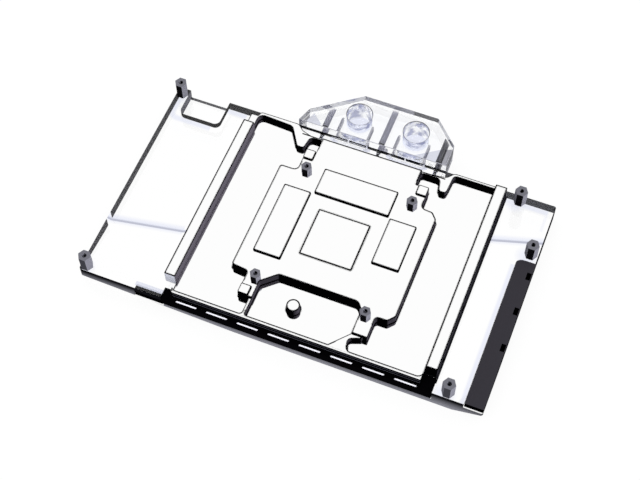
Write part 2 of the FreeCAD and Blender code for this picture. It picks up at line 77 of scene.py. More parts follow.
def combine(operation, a, b=0.0):
    tree = a.tree if isinstance(a, Field) else b.tree
    return Field(tree, addNode(tree, "ShaderNodeMath", {"operation": operation}, {0: a, 1: b}).outputs[0])


class Field:
    # A number that a material works out at each point of a surface. Comparing and combining
    # fields adds the nodes for it, so a mask reads as plain arithmetic: & is both, | either, ~ not

    def __init__(self, tree, socket):
        self.tree = tree
        self.socket = socket

    def __add__(self, other):
        return combine("ADD", self, other)

    def __sub__(self, other):
        return combine("SUBTRACT", self, other)

    def __rsub__(self, other):
        return combine("SUBTRACT", other, self)

    def __mul__(self, other):
        return combine("MULTIPLY", self, other)

    def __lt__(self, other):
        return combine("LESS_THAN", self, other)

    def __gt__(self, other):
        return combine("GREATER_THAN", self, other)

    def __and__(self, other):
        return combine("MULTIPLY", self, other)

    def __or__(self, other):
        return combine("MAXIMUM", self, other)

    def __invert__(self):
        return combine("SUBTRACT", 1.0, self)

    def __abs__(self):
        return combine("ABSOLUTE", self)


def between(field, low, high):
    return (field > low) & (field < high)


def near(field, middle, reach=slack):
    return between(field, middle - reach, middle + reach)


def anyOf(masks):
    total = masks[0]
    for mask in masks[1:]:
        total = total | mask
    return total


def ramp(field, low, high, toLow=0.0, toHigh=1.0):
    # low..high of a field carried to toLow..toHigh, held at the ends
    inputs = {0: field, 1: low, 2: high, 3: toLow, 4: toHigh}
    return Field(field.tree, addNode(field.tree, "ShaderNodeMapRange", None, inputs).outputs[0])


def uneven(field, value, spread):
    # a value that goes up and down by a share of itself as the field goes from 0 to 1
    return ramp(field, 0.0, 1.0, value * (1 - spread), value * (1 + spread))


def band(field, middle, reach, core=0.35):
    # 1 in the core of a soft band, 0 from reach on either side
    return ramp(abs(field - middle), reach * core, reach, 1.0, 0.0)


def distance(px, py, x, y):
    # plain distance in the plan, sqrt(dx^2 + dy^2)
    dx = px - x
    dy = py - y
    return combine("SQRT", dx * dx + dy * dy)


def axes(tree, vector):
    parts = addNode(tree, "ShaderNodeSeparateXYZ", None, {0: vector})
    return [Field(tree, part) for part in parts.outputs]


def place(tree):
    # where on the object a point is, in metres along X, Y and Z
    return axes(tree, addNode(tree, "ShaderNodeTexCoord").outputs["Object"])


def faceDirection(tree):
    # the face's direction away from its solid, in the object's axes, also where it is seen from inside
    coords = addNode(tree, "ShaderNodeTexCoord")
    behind = Field(tree, addNode(tree, "ShaderNodeNewGeometry").outputs["Backfacing"])
    turned = addNode(tree, "ShaderNodeVectorMath", {"operation": "SCALE"}, {
        0: coords.outputs["Normal"],
        "Scale": 1.0 - behind * 2.0,
    })
    return axes(tree, turned.outputs[0])


def edgeLine(tree, radius, limit):
    # 1 beside an edge: there the normal of a rounded edge leans away from the face's own
    rounded = addNode(tree, "ShaderNodeBevel", {"samples": edgeSamples}, {"Radius": radius})
    own = addNode(tree, "ShaderNodeNewGeometry")
    lean = addNode(tree, "ShaderNodeVectorMath", {"operation": "DOT_PRODUCT"}, {
        0: rounded.outputs[0],
        1: own.outputs["True Normal"],
    })
    return Field(tree, lean.outputs["Value"]) < limit


def grain(tree, size, detail=2.0):
    # noise whose grains are as wide as size, in metres
    coords = addNode(tree, "ShaderNodeTexCoord")
    noise = addNode(tree, "ShaderNodeTexNoise", None, {
        "Vector": coords.outputs["Object"],
        "Scale": 1 / size,
        "Detail": detail,
    })
    return Field(tree, noise.outputs[0])


def lay(tree, share, under, over):
    # over on top of under as far as share says, for two colours or for two surfaces
    if isinstance(over, bpy.types.NodeSocketShader):
        return addNode(tree, "ShaderNodeMixShader", None, {0: share, 1: under, 2: over}).outputs[0]
    mix = addNode(tree, "ShaderNodeMix", {"data_type": "RGBA"}, {0: share, 6: under, 7: over})
    return mix.outputs[2]


def coat(tree, body, where, colour, share=1.0):
    # paint without gloss over the surface, where the field says
    paint = addNode(tree, "ShaderNodeBsdfDiffuse", None, {"Color": colour})
    return lay(tree, where * share, body, paint.outputs[0])


def letThrough(tree, body, where, tint="ffffff"):
    # there the surface is nothing but a tint for what lies behind
    clear = addNode(tree, "ShaderNodeBsdfTransparent", None, {"Color": tint})
    return lay(tree, where, body, clear.outputs[0])


def newMaterial(name):
    material = bpy.data.materials.new(name)
    material.use_nodes = True
    material.node_tree.nodes.clear()
    return material, material.node_tree


def finishMaterial(tree, surface):
    addNode(tree, "ShaderNodeOutputMaterial", None, {"Surface": surface})


# the plate's own colour on the face, and painted shade and light: black walls, grey walls towards +X, black
# lines, lighter strip tones and highlight lines
nickel = {
    "face": "fdfdfd",
    "wall": "020203",
    "wallSideLight": "57535e",
    "wallEndShade": "38373f",
    "sideTurn": (0.35, 0.95),  # how much of +X a wall's direction has as it turns from black to grey
    "stripSideLight": "76717d",
    "stripEndLight": "e0e3f1",
    "line": "030304",
    "highlightLine": "5c5c68",
    "roughness": 0.06,
    "spread": 0.3,
    "marks": 1.2 * mm,
}
# reaches and limits of the painted dark edge lines, and the heights of the painted highlight lines
outline = {
    "reach": 1.35 * mm,  # the bevel's reach, which shows a line of about half a millimetre
    "fineReach": 0.85 * mm,
    "nearRimReach": 1.3 * mm,
    "stepReach": 0.3 * mm,
    "limit": 0.996,
    "stepLimit": 0.985,
    "highlightLevels": (11.6 * mm, 13.5 * mm),
    "highlightHalf": 0.13 * mm,
}
plate = {
    "right": 68.3 * mm,
    "near": -53.9 * mm,
    "rimTop": 15.2 * mm,
    "rimFoot": 15.0 * mm,
    "nearRim": -50 * mm,
    "outerRim": 0.6 * mm,
    "nearWall": 0.5 * mm,
    "endWall": 2 * mm,
    "farMiddle": 53 * mm,
    "farHalf": 38 * mm,
    "farLine": 0.6 * mm,
    "squaresX": (25 * mm, 34 * mm),
    "squaresY": (36.5 * mm, 45.5 * mm),
}
strips = {
    "leftEdge": -62.7 * mm,
    "rightEdge": 62.5 * mm,
    "near": -46.9 * mm,
    "far": 49.0 * mm,
    "foot": 5 * mm,
    "top": 17.3 * mm,
    "side": 0.45 * mm,
    "sideTop": 0.2 * mm,
    "leftLine": 1.15 * mm,
    "rightLine": 0.5 * mm,
    "tabStart": 0.3 * mm,
    "tabGap": 1.2 * mm,
    "besideTab": 1.4 * mm,
    "behindTab": 4 * mm,
    "under": 0.5 * mm,
}
chipPad = {"half": 13.2 * mm, "line": 0.5 * mm, "low": 16 * mm}
memoryPads = [(-34.4, -20.4, -19.7, 20.5), (-19.1, 19.5, 21.1, 36.0), (20.5, 34.4, -5.9, 20.4)]
padFoot = {"low": 16.2 * mm, "high": 16.4 * mm, "reach": 1.3 * mm, "step": 0.12 * mm, "half": 36 * mm}


def stripLightAndShade(px, py, pz):
    # where light and shade are painted: the left strip's inner side lighter, and the floor of the screw tab
    # beside the right strip black
    side = (
        between(px, strips["leftEdge"] - slack, strips["leftEdge"] + strips["side"])
        & between(pz, strips["foot"], strips["top"] - strips["sideTop"])
        & between(py, strips["near"], strips["far"])
    )
    tabShade = (px > strips["rightEdge"] - strips["tabStart"]) & (py < strips["near"] - strips["tabGap"])
    return side, tabShade


def plateWall(tree, x, y, px, py, pz, side, tabShade):
    # the walls' painted shade and light: black, grey towards +X, with the painted tones of the strips and
    # the painted highlight lines
    low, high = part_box("cold_plate")
    grey = lay(tree, px < high[0] - plate["endWall"], nickel["wallEndShade"], nickel["wallSideLight"])
    wall = lay(tree, ramp(x, *nickel["sideTurn"]), nickel["wall"], grey)
    # painted light on the near-facing walls at the left strip's end
    wall = lay(tree, (y < -square) & (px < strips["leftEdge"]), wall, nickel["stripEndLight"])
    wall = lay(tree, tabShade, wall, nickel["line"])
    wall = lay(tree, side, wall, nickel["stripSideLight"])
    # painted highlight lines along the near wall, at two heights
    nearWall = (y < -square) & (py < low[1] + plate["nearWall"])
    for level in outline["highlightLevels"]:
        wall = lay(tree, nearWall & near(pz, level, outline["highlightHalf"]), wall, nickel["highlightLine"])
    # the pads' walls above their foot are painted black as shade
    padWall = (pz > padFoot["low"] + padFoot["step"]) & (abs(px) < padFoot["half"])
    return lay(tree, padWall, wall, nickel["line"])


def plateEdgeReflections(tree, flat, px, py, pz):
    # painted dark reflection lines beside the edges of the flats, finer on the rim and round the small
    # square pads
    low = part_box("cold_plate")[0]
    onRim = near(pz, plate["rimTop"])
    onSquares = between(abs(px), *plate["squaresX"]) & between(abs(py), *plate["squaresY"])
    nearRim = onRim & (py < plate["nearRim"])
    reach = (onRim | onSquares) * (outline["fineReach"] - outline["reach"]) + outline["reach"]
    reach = reach + nearRim * (outline["nearRimReach"] - outline["fineReach"])
    inner = ~(nearRim & (py < low[1] + plate["outerRim"]))
    wide = edgeLine(tree, reach, outline["limit"]) & flat & inner
    narrow = edgeLine(tree, outline["stepReach"], outline["stepLimit"]) & inner

    atFoot = between(pz, padFoot["low"], padFoot["high"])
    for x0, x1, y0, y1 in memoryPads:
        besideX = between(px, x0 * mm - padFoot["reach"], x1 * mm + padFoot["reach"])
        besideY = between(py, y0 * mm - padFoot["reach"], y1 * mm + padFoot["reach"])
        wide = wide & ~(besideX & besideY & atFoot)
    fromChip = abs(px) | abs(py)
    padLine = between(fromChip, chipPad["half"] - chipPad["line"], chipPad["half"] + slack)
    padLine = padLine & (pz > chipPad["low"])

    rightLine = between(px, strips["rightEdge"], strips["rightEdge"] + strips["rightLine"])
    stripLine = ((px < low[0] + strips["leftLine"]) | rightLine) & (pz > strips["top"] - slack)
    farRim = between(py, plate["farMiddle"] - plate["farLine"], plate["farMiddle"] + slack)
    farRim = farRim & (abs(px) < plate["farHalf"]) & (pz > plate["rimFoot"])
    return anyOf([wide, narrow, padLine, stripLine, farRim])


def makeNickel():
    # bright nickel plate on milled copper: a mirror on the flats, with painted shade black on the upright
    # walls and edges, and painted light grey on some walls
    material, tree = newMaterial("nickelPlateMilled")
    x, y, z = faceDirection(tree)
    px, py, pz = place(tree)
    flat = abs(z) > flatEnough
    side, tabShade = stripLightAndShade(px, py, pz)
    line = plateEdgeReflections(tree, flat, px, py, pz) & ~side
    wall = plateWall(tree, x, y, px, py, pz, side, tabShade)
    wall = lay(tree, line, wall, nickel["line"])
    bright = addNode(tree, "ShaderNodeBsdfPrincipled", None, {
        "Base Color": nickel["face"],
        "Metallic": 1.0,
        "Roughness": uneven(grain(tree, nickel["marks"]), nickel["roughness"], nickel["spread"]),
    })
    matte = addNode(tree, "ShaderNodeBsdfDiffuse", None, {"Color": wall})
    clear = flat & ~side & ~tabShade & ~line
    finishMaterial(tree, lay(tree, clear, matte.outputs[0], bright.outputs[0]))
    return material


# the acrylic's clear colour, with the painted soft shade bands and the painted shade on the groove's sides
acrylic = {
    "clear": "ffffff",
    "ior": 1.49,
    "shadeBand": "cfd5f2",
    "shadeBandShare": 0.75,
    "grooveNearShade": "b9bccd",
    "grooveFarShade": "e3e6f5",
    "grooveShare": 0.95,
    "grooveLean": (0.3, 0.9),  # how much of Z the direction of the groove's two sides has
    "openShare": 0.9,
}
# painted shade and light on the body's walls, a tone for each way a wall faces, and the painted contact
# shade
walls = {
    "edge": 0.5 * mm,
    "left": "626268",
    "far": "666871",
    "farLeft": "454549",
    "underNotch": "8c8c92",
    "right": "101014",
    "nearTop": "151518",
    "nearLow": "9a9aa4",
    "nearTurn": (1 * mm, 8 * mm),
    "notch": "050507",
    "notchLeft": "85858d",
    "contactShade": "26262b",
    "contactWidth": 0.9 * mm,
    "rimWidth": 0.35 * mm,
}
notch = {"left": -103.6 * mm, "right": -81.6 * mm, "near": 45.3 * mm}
# painted shade on the lead slot's roof and on the wall over it, and a painted soft shade band above it
leadSlot = {
    "left": -81.0 * mm,
    "right": -66.9 * mm,
    "top": 6.6 * mm,
    "back": -51 * mm,
    "roof": "141418",
    "over": "141418",
    "shadeBand": "e6e9f8",
    "shadeBandShare": 0.8,
    "shadeFrom": 3.4 * mm,
    "shadeTo": 1.1 * mm,
}
joint = {
    "line": "050507",
    "foot": 6.8 * mm,
    "rim": 0.4 * mm,
    "gaps": (-16.1 * mm, -6.1 * mm, 14.5 * mm, 24.5 * mm),
    "gapHalf": 0.3 * mm,
    "openNear": 57 * mm,
    "openHalf": 28 * mm,
    "openLevel": (1 * mm, 9 * mm),
}
duct = {
    "bottom": 3.2 * mm,
    "top": 6.8 * mm,
    "half": 8.75 * mm,
    "round": 1.3 * mm,
    "near": 50 * mm,
    "reach": 26 * mm,
}
groove = [(-109.85, -22.2), (-74.0, -15.7), (68.5, 34.6), (93.4, 42.0)]
grooveEnd = (-3.8 * mm, 0.4 * mm)
posts = [(-106.85, -53.1), (-106.85, 57.0), (75.5, 57.0), (89.5, 29.8), (75.5, -53.1)]
shadeBandPlan = {
    "notch": (3.4 * mm, 2.2 * mm),  # middle and reach of a band, measured inwards from its wall
    "far": (5.2 * mm, 2.2 * mm),
    "cover": (1.0 * mm, 1.6 * mm),
    "right": (3.2 * mm, 1.0 * mm),
    "groove": (0.4 * mm, 3.2 * mm),
    "end": 3 * mm,
    "left": (1 * mm, -70 * mm),  # from the notch's right side by the first to the second
    "coverEnd": 4 * mm,
    "rightNear": 44 * mm,
    "rightShare": 0.5,
    "postShift": 1.5 * mm,
    "post": (2.6 * mm, 6.5 * mm),
    "postShare": 0.9,
}


def clearAcrylic(tree, colour):
    return addNode(tree, "ShaderNodeBsdfPrincipled", None, {
        "Base Color": colour,
        "Roughness": 0.0,
        "IOR": acrylic["ior"],
        "Transmission Weight": 1.0,
    }).outputs[0]


def finishClear(tree, body):
    # a clear piece lets the light through, so its shadow stays as faint as the photo's
    shadow = Field(tree, addNode(tree, "ShaderNodeLightPath").outputs["Is Shadow Ray"])
    finishMaterial(tree, letThrough(tree, body, shadow))


def jointGaps(px):
    return anyOf([near(px, middle, joint["gapHalf"]) for middle in joint["gaps"]])


def paintedShadeBands(px, py, high):
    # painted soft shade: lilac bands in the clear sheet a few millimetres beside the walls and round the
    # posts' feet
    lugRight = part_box("cold_plate")[1][0]
    coverLow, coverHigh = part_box("end_cover")
    end = shadeBandPlan["end"]
    # how far a point is from the notch's two walls, 0 on the notch's own side of each
    toSide = (notch["left"] - px) | 0.0
    toNear = (notch["near"] - py) | 0.0
    aroundNotch = distance(toSide, toNear, 0.0, 0.0)
    notchBand = band(aroundNotch, *shadeBandPlan["notch"]) & (px < notch["right"] - end)
    middle, reach = shadeBandPlan["far"]
    rightPart = between(px, lugRight, high[0] - end)
    leftPart = between(px, notch["right"] + shadeBandPlan["left"][0], shadeBandPlan["left"][1])
    farBand = band(py, high[1] - middle, reach) & (rightPart | leftPart)
    middle, reach = shadeBandPlan["cover"]
    coverBand = band(px, coverLow[0] - middle, reach) & (py < coverHigh[1] - shadeBandPlan["coverEnd"])
    middle, reach = shadeBandPlan["right"]
    rightBand = band(px, high[0] - middle, reach) & (py > shadeBandPlan["rightNear"])
    total = anyOf([notchBand, farBand, coverBand, rightBand * shadeBandPlan["rightShare"]])
    for x, y in posts:
        foot = distance(px, py, x * mm - shadeBandPlan["postShift"], y * mm - shadeBandPlan["postShift"])
        total = total | ramp(foot, *shadeBandPlan["post"], shadeBandPlan["postShare"], 0.0)
    return total


def grooveShadeBand(px, py):
    # the same painted soft shade on both sides of the groove, in the underside: y = y0 + slope (x - x0)
    parts = []
    for (x0, y0), (x1, y1) in (groove[:2], groove[2:]):
        slope = (y1 - y0) / (x1 - x0)
        fromLine = py - px * slope - (y0 - slope * x0) * mm
        parts.append(band(fromLine, *shadeBandPlan["groove"]) & between(px, x0 * mm, x1 * mm))
    return anyOf(parts)


def bodyWalls(tree, x, y, z, px, py, pz):
    # painted shade on the walls, grey and black by the way each faces, and where they are
    low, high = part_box("clear_body")
    terminalLow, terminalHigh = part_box("terminal_block")
    edge = walls["edge"]
    toFar = (y > facing) & (py > high[1] - edge)
    toNear = (y < -facing) & (py < low[1] + edge)
    toLeft = (x < -facing) & (px < low[0] + edge)
    toRight = (x > facing) & (px > high[0] - edge)
    toLeft = toLeft & ~between(py, groove[0][1] * mm + grooveEnd[0], groove[0][1] * mm + grooveEnd[1])
    atJoint = toFar & between(px, terminalLow[0], terminalHigh[0])
    inNotch = (
        (abs(z) < upright)
        & between(px, notch["left"] - edge, notch["right"] + edge)
        & between(py, notch["near"] - edge, high[1] - edge)
    )
    far = lay(tree, px < terminalLow[0], walls["far"], walls["farLeft"])
    far = lay(tree, between(px, notch["left"], notch["right"]), far, walls["underNotch"])
    nearWall = lay(tree, ramp(pz, *walls["nearTurn"]), walls["nearLow"], walls["nearTop"])
    wall = lay(tree, toFar, walls["left"], far)
    wall = lay(tree, atJoint, wall, joint["line"])
    wall = lay(tree, toNear, wall, nearWall)
    wall = lay(tree, toNear & between(px, leadSlot["left"], leadSlot["right"]), wall, leadSlot["over"])
    wall = lay(tree, toRight, wall, walls["right"])
    wall = lay(tree, inNotch, wall, lay(tree, x > facing, walls["notch"], walls["notchLeft"]))
    return wall, anyOf([toFar, toNear, toLeft, toRight, inNotch]), atJoint


def bodyContactShade(top, px, py):
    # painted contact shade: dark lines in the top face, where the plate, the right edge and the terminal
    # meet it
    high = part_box("clear_body")[1]
    terminalLow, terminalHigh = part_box("terminal_block")
    width = walls["contactWidth"]
    beside = between(px, plate["right"] - slack, plate["right"] + width)
    beside = beside & between(py, strips["near"] - strips["besideTab"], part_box("cold_plate")[1][1])
    behindTab = between(px, strips["rightEdge"], plate["right"] + width)
    behindTab = behindTab & between(py, strips["near"] - strips["behindTab"], strips["near"])
    rightRim = (px > high[0] - walls["rimWidth"]) & (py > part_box("end_cover")[1][1])
    jointRim = (py > high[1] - joint["rim"]) & between(px, terminalLow[0], terminalHigh[0])
    return top & anyOf([beside, behindTab, rightRim, jointRim & ~jointGaps(px)])


def underPlate(top, px, py):
    # where the plate lies on the body
    sides = (abs(px) < plate["right"] - slack) & between(py, strips["near"], strips["far"])
    middle = abs(px) < strips["rightEdge"] - strips["under"]
    middle = middle & between(py, plate["near"], plate["farMiddle"])
    return top & (sides | middle)


def makeAcrylic():
    # cast acrylic, flats polished and edges left as milled: clear through the flats, with painted shade dark
    # grey on the walls
    material, tree = newMaterial("acrylicCastPolished")
    x, y, z = faceDirection(tree)
    px, py, pz = place(tree)
    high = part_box("clear_body")[1]
    level = abs(z)
    top = (z > square) & (pz > high[2] - walls["edge"])
    under = (z < -square) & (pz < walls["edge"])
    shadeBand = (top & paintedShadeBands(px, py, high)) + (under & grooveShadeBand(px, py))
    body = clearAcrylic(tree, lay(tree, shadeBand * acrylic["shadeBandShare"], acrylic["clear"], acrylic["shadeBand"]))
    # painted shade on the groove's two sides, darker on the near one
    grooved = between(level, *acrylic["grooveLean"])
    grooveShade = lay(tree, y > 0.0, acrylic["grooveFarShade"], acrylic["grooveNearShade"])
    body = letThrough(tree, body, grooved * acrylic["grooveShare"], grooveShade)
    wall, shadedWalls, atJoint = bodyWalls(tree, x, y, z, px, py, pz)
    body = coat(tree, body, shadedWalls, wall)

    # painted shade on the lead slot's roof, a painted soft shade band above the slot, and the painted
    # contact shade
    alongSlot = between(px, leadSlot["left"], leadSlot["right"])
    slotRoof = alongSlot & (py < leadSlot["back"]) & near(pz, leadSlot["top"]) & (level > square)
    body = coat(tree, body, slotRoof, leadSlot["roof"])
    aboveSlot = between(py, leadSlot["back"] - leadSlot["shadeFrom"], leadSlot["back"] - leadSlot["shadeTo"])
    body = coat(tree, body, top & alongSlot & aboveSlot, leadSlot["shadeBand"], leadSlot["shadeBandShare"])
    body = coat(tree, body, bodyContactShade(top, px, py), walls["contactShade"])

    beforeJoint = py < high[1] - slack
    inDuct = between(pz, duct["bottom"] - slack, duct["top"] + slack) & (py > duct["near"])
    inDuct = inDuct & (abs(px) < duct["reach"])
    inJoint = between(pz, *joint["openLevel"]) & (py > joint["openNear"]) & (abs(px) < joint["openHalf"])
    opened = (inDuct | inJoint) & beforeJoint
    body = letThrough(tree, body, opened * acrylic["openShare"])
    bonded = atJoint & ((pz < joint["foot"]) | jointGaps(px))
    body = letThrough(tree, body, bonded)
    body = letThrough(tree, body, underPlate(top, px, py))
    finishClear(tree, body)
    return material


# painted reflections and shade on the block's walls, chamfer and edge lines; the clear colour is its own
terminal = {
    "clear": "fcfdff",
    "upper": 0.6 * mm,  # the upper part starts this much below the body's top
    "far": {"share": 0.9, "lean": 0.95, "depth": 1 * mm, "turn": 10 * mm, "wall": "cfcfdc", "end": "5a5a63"},
    "slant": {"share": 0.55, "lean": (0.25, 0.95), "colour": "dfe1f0"},
    "lower": {"share": 0.75, "foot": 0.02 * mm},
    "left": {"share": 0.5, "lean": -0.8, "from": -38 * mm, "colour": "7c7d8c"},
    "right": {"share": 0.75, "lean": 0.9, "from": 34 * mm, "colour": "4c4c55"},
    "chamfer": {"share": 0.1, "lean": (-0.9, -0.5), "colour": "d3d5e6"},
    "outline": {"share": 0.5, "reach": 0.45 * mm, "limit": 0.97, "colour": "c2c2ce"},
    "nearRim": {"share": 0.7, "width": 0.3 * mm},
    "glue": 0.4 * mm,
}
images = {
    "colour": "b9bdd0",
    "corner": "62626e",
    "left": {"x": (-40.1 * mm, -31.6 * mm), "tip": (-36.9, 66.6), "slopes": (2.4, -0.89)},
    "right": {"x": (18.3 * mm, 31.5 * mm), "tip": (18.3, 60.3), "slopes": (0.7,)},
    "end": {"x": (32.4 * mm, 50 * mm), "tip": (30.6, 68.4), "slopes": (0.5,)},
}
ductPaint = {
    "colour": "c2c2cf",
    "openShare": 0.75,
    "wallShare": 0.85,
    "roundShare": 0.7,
    "fromJoint": 2.5 * mm,
    "fromPort": 1.5 * mm,
}
bores = {
    "colour": "bcbccd",
    "right": "6a6a74",
    "foot": "303038",
    "share": 0.85,
    "gap": 0.25 * mm,
    "rightFrom": 25 * mm,
    "lean": 0.5,
}
port = {
    "x": 15.25 * mm,
    "y": 74.4 * mm,
    "radius": 6.58 * mm,
    "outside": 0.5 * mm,
    "wall": 0.2 * mm,
    "thread": "989dbe",
    "threadSize": 4 * mm,  # the patches of light and dark that a cut thread mirrors
    "threadDetail": 3.0,
    "threadTurn": (0.42, 0.6),
    "floor": "e4e7f7",
    "share": 0.8,
    "ring": "44444e",
    "ringHalf": 0.3 * mm,
    "ringDepth": 0.35 * mm,
    "ringShare": 0.85,
}


def mirrorImage(px, py, image):
    # a patch of the top face on the near side of slanted lines through its tip, y = y0 + slope (x - x0)
    x0, y0 = image["tip"]
    patch = between(px, *image["x"])
    for slope in image["slopes"]:
        patch = patch & (py < (px - x0 * mm) * slope + y0 * mm)
    return patch


def terminalGlass(tree, topFace, px, py):
    # clear, with the three largest mirror images of the inner facets as tints on the top face
    patches = mirrorImage(px, py, images["left"]) | mirrorImage(px, py, images["right"])
    tint = lay(tree, patches, terminal["clear"], images["colour"])
    tint = lay(tree, mirrorImage(px, py, images["end"]), tint, images["corner"])
    return clearAcrylic(tree, lay(tree, topFace, terminal["clear"], tint))


def terminalWalls(tree, body, x, y, z, px, py, pz, outside):
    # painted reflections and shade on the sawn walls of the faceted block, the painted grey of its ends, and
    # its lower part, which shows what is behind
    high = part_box("terminal_block")[1]
    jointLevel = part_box("clear_body")[1][2] - terminal["upper"]
    upper = pz > jointLevel
    wall = abs(z) < upright
    far, slant, lower = terminal["far"], terminal["slant"], terminal["lower"]
    atFar = (y > far["lean"]) & (py > high[1] - far["depth"]) & upper
    body = coat(tree, body, atFar, lay(tree, px > far["turn"], far["wall"], far["end"]), far["share"])
    slanted = wall & between(y, *slant["lean"]) & upper & outside
    body = coat(tree, body, slanted, slant["colour"], slant["share"])
    below = (pz < jointLevel) & (pz > lower["foot"]) & outside
    body = letThrough(tree, body, below * lower["share"])
    left, right, chamfer = terminal["left"], terminal["right"], terminal["chamfer"]
    leftEnd = (x < left["lean"]) & (px < left["from"]) & wall
    body = coat(tree, body, leftEnd, left["colour"], left["share"])
    rightEnd = (x > right["lean"]) & (px > right["from"]) & wall
    body = coat(tree, body, rightEnd, right["colour"], right["share"])
    return coat(tree, body, between(z, *chamfer["lean"]) & outside, chamfer["colour"], chamfer["share"])


def terminalDucts(tree, body, x, px, py, pz):
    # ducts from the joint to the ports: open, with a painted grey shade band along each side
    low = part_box("terminal_block")[0]
    inDuct = between(pz, duct["bottom"], duct["top"]) & (py < port["y"])
    pastJoint = py > low[1] + ductPaint["fromJoint"]
    body = letThrough(tree, body, inDuct * ductPaint["openShare"])
    side = inDuct & (abs(x) > square) & pastJoint
    body = coat(tree, body, side, ductPaint["colour"], ductPaint["wallShare"])
    fromMiddle = abs(abs(px) - port["x"])
    inRound = between(fromMiddle, duct["half"] - duct["round"], duct["half"])
    inRound = inRound & between(pz, duct["bottom"] - slack, duct["top"] + slack)
    inRound = inRound & (py < port["y"] - ductPaint["fromPort"]) & pastJoint
    return coat(tree, body, inRound, ductPaint["colour"], ductPaint["roundShare"])


def terminalBores(tree, body, y, px, py, pz):
    # drilled bores for the three screws, painted grey shade, dark round the heads
    low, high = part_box("terminal_screws")
    headRadius = (high[2] - low[2]) / 2
    boreRadius = headRadius + bores["gap"]
    colour = lay(tree, px > bores["rightFrom"], bores["colour"], bores["right"])
    colour = lay(tree, py < high[1], colour, bores["foot"])
    atLevel = near(pz, (low[2] + high[2]) / 2, boreRadius) & (abs(y) < bores["lean"])
    for middle in (low[0] + headRadius, (low[0] + high[0]) / 2, high[0] - headRadius):
        body = coat(tree, body, near(px, middle, boreRadius) & atLevel, colour, bores["share"])
    return body


def terminalPorts(tree, body, z, pz, fromPort):
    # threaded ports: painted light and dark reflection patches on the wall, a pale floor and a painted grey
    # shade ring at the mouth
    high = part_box("terminal_block")[1]
    threads = ramp(grain(tree, port["threadSize"], port["threadDetail"]), *port["threadTurn"])
    threadTint = lay(tree, threads, port["thread"], terminal["clear"])
    portWall = (abs(z) < upright) & near(fromPort, port["radius"], port["wall"])
    body = letThrough(tree, body, portWall * port["share"], threadTint)
    portFloor = (z > square) & (fromPort < port["radius"])
    body = letThrough(tree, body, portFloor * port["share"], port["floor"])
    ring = (pz > high[2] - port["ringDepth"]) & near(fromPort, port["radius"], port["ringHalf"])
    return coat(tree, body, ring, port["ring"], port["ringShare"])


def makeTerminalAcrylic():
    # the same acrylic in a faceted block: drilled bores and sawn walls painted grey as shade and
    # reflections, all else clear
    material, tree = newMaterial("acrylicFaceted")
    x, y, z = faceDirection(tree)
    px, py, pz = place(tree)
    low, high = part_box("terminal_block")
    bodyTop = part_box("clear_body")[1][2]
    fromPort = distance(abs(px), py, port["x"], port["y"])
    outside = fromPort > port["radius"] + port["outside"]
    body = terminalGlass(tree, (z > square) & (pz > high[2] - slack), px, py)
    body = terminalWalls(tree, body, x, y, z, px, py, pz, outside)
    body = terminalDucts(tree, body, x, px, py, pz)
    body = terminalBores(tree, body, y, px, py, pz)
    # painted grey shade along the block's edges above the body and along its near rim
    outer = terminal["outline"]
    line = edgeLine(tree, outer["reach"], outer["limit"]) & (pz > bodyTop)
    body = coat(tree, body, line, outer["colour"], outer["share"])
    body = terminalPorts(tree, body, z, pz, fromPort)
    nearRim = terminal["nearRim"]
    alongNear = (pz > high[2] - nearRim["width"]) & (py < low[1] + nearRim["width"])
    body = coat(tree, body, alongNear, outer["colour"], nearRim["share"])
    bonded = (y < -square) & (py < low[1] + slack) & (pz < bodyTop + terminal["glue"])
    black = (pz > joint["foot"]) & ~jointGaps(px)
    body = letThrough(tree, body, bonded)
    body = coat(tree, body, bonded & black, joint["line"])
    finishClear(tree, body)
    return material


moulded = {"darker": 0.85, "gloss": 0.3, "relief": 0.05 * mm}


def makeMoulded(name, colour, roughness, grainSize, depth):
    # moulded plastic or rubber: one dye, and the fine grain of the mould
    material, tree = newMaterial(name)
    speck = grain(tree, grainSize)
    darker = tuple(c * moulded["darker"] for c in hexColour(colour)[:3]) + (1.0,)
    bump = addNode(tree, "ShaderNodeBump", None, {
        "Strength": depth,
        "Distance": moulded["relief"],
        "Height": speck,
    })
    shader = addNode(tree, "ShaderNodeBsdfPrincipled", None, {
        "Base Color": lay(tree, speck, darker, colour),
        "Roughness": roughness,
        "Specular IOR Level": moulded["gloss"],
        "Normal": bump.outputs[0],
    })
    finishMaterial(tree, shader.outputs[0])
    return material


barCover = {"face": "0a090c", "shade": "040305", "grain": 0.35 * mm, "roughness": 0.5}


def makeBarCover():
    # moulded black cover of the light bar, without gloss
    material, tree = newMaterial("absBlackMoulded")
    shader = addNode(tree, "ShaderNodeBsdfDiffuse", None, {
        "Color": lay(tree, grain(tree, barCover["grain"]), barCover["shade"], barCover["face"]),
        "Roughness": barCover["roughness"],
    })
    finishMaterial(tree, shader.outputs[0])
    return material


endCover = {"face": "46444b", "pocket": "020203", "grain": 0.35 * mm, "grainShare": 0.25, "roughness": 0.7}


def makeEndCover():
    # matte moulded cover: charcoal on its face, with painted shade black down in the clip pockets
    material, tree = newMaterial("absCharcoalMatte")
    pz = place(tree)[2]
    speck = grain(tree, endCover["grain"]) * endCover["grainShare"]
    face = lay(tree, speck, endCover["face"], endCover["pocket"])
    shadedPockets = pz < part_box("end_cover")[1][2] - slack
    shader = addNode(tree, "ShaderNodeBsdfDiffuse", None, {
        "Color": lay(tree, shadedPockets, face, endCover["pocket"]),
        "Roughness": endCover["roughness"],
    })
    finishMaterial(tree, shader.outputs[0])
    return material


opal = {
    "shade": "f2f2f8",
    "face": "fafafe",
    # the glow is painted light
    "glow": "f4f4ff",
    "strength": 0.75,
    "roughness": 0.45,
    "grain": 0.5 * mm,
}


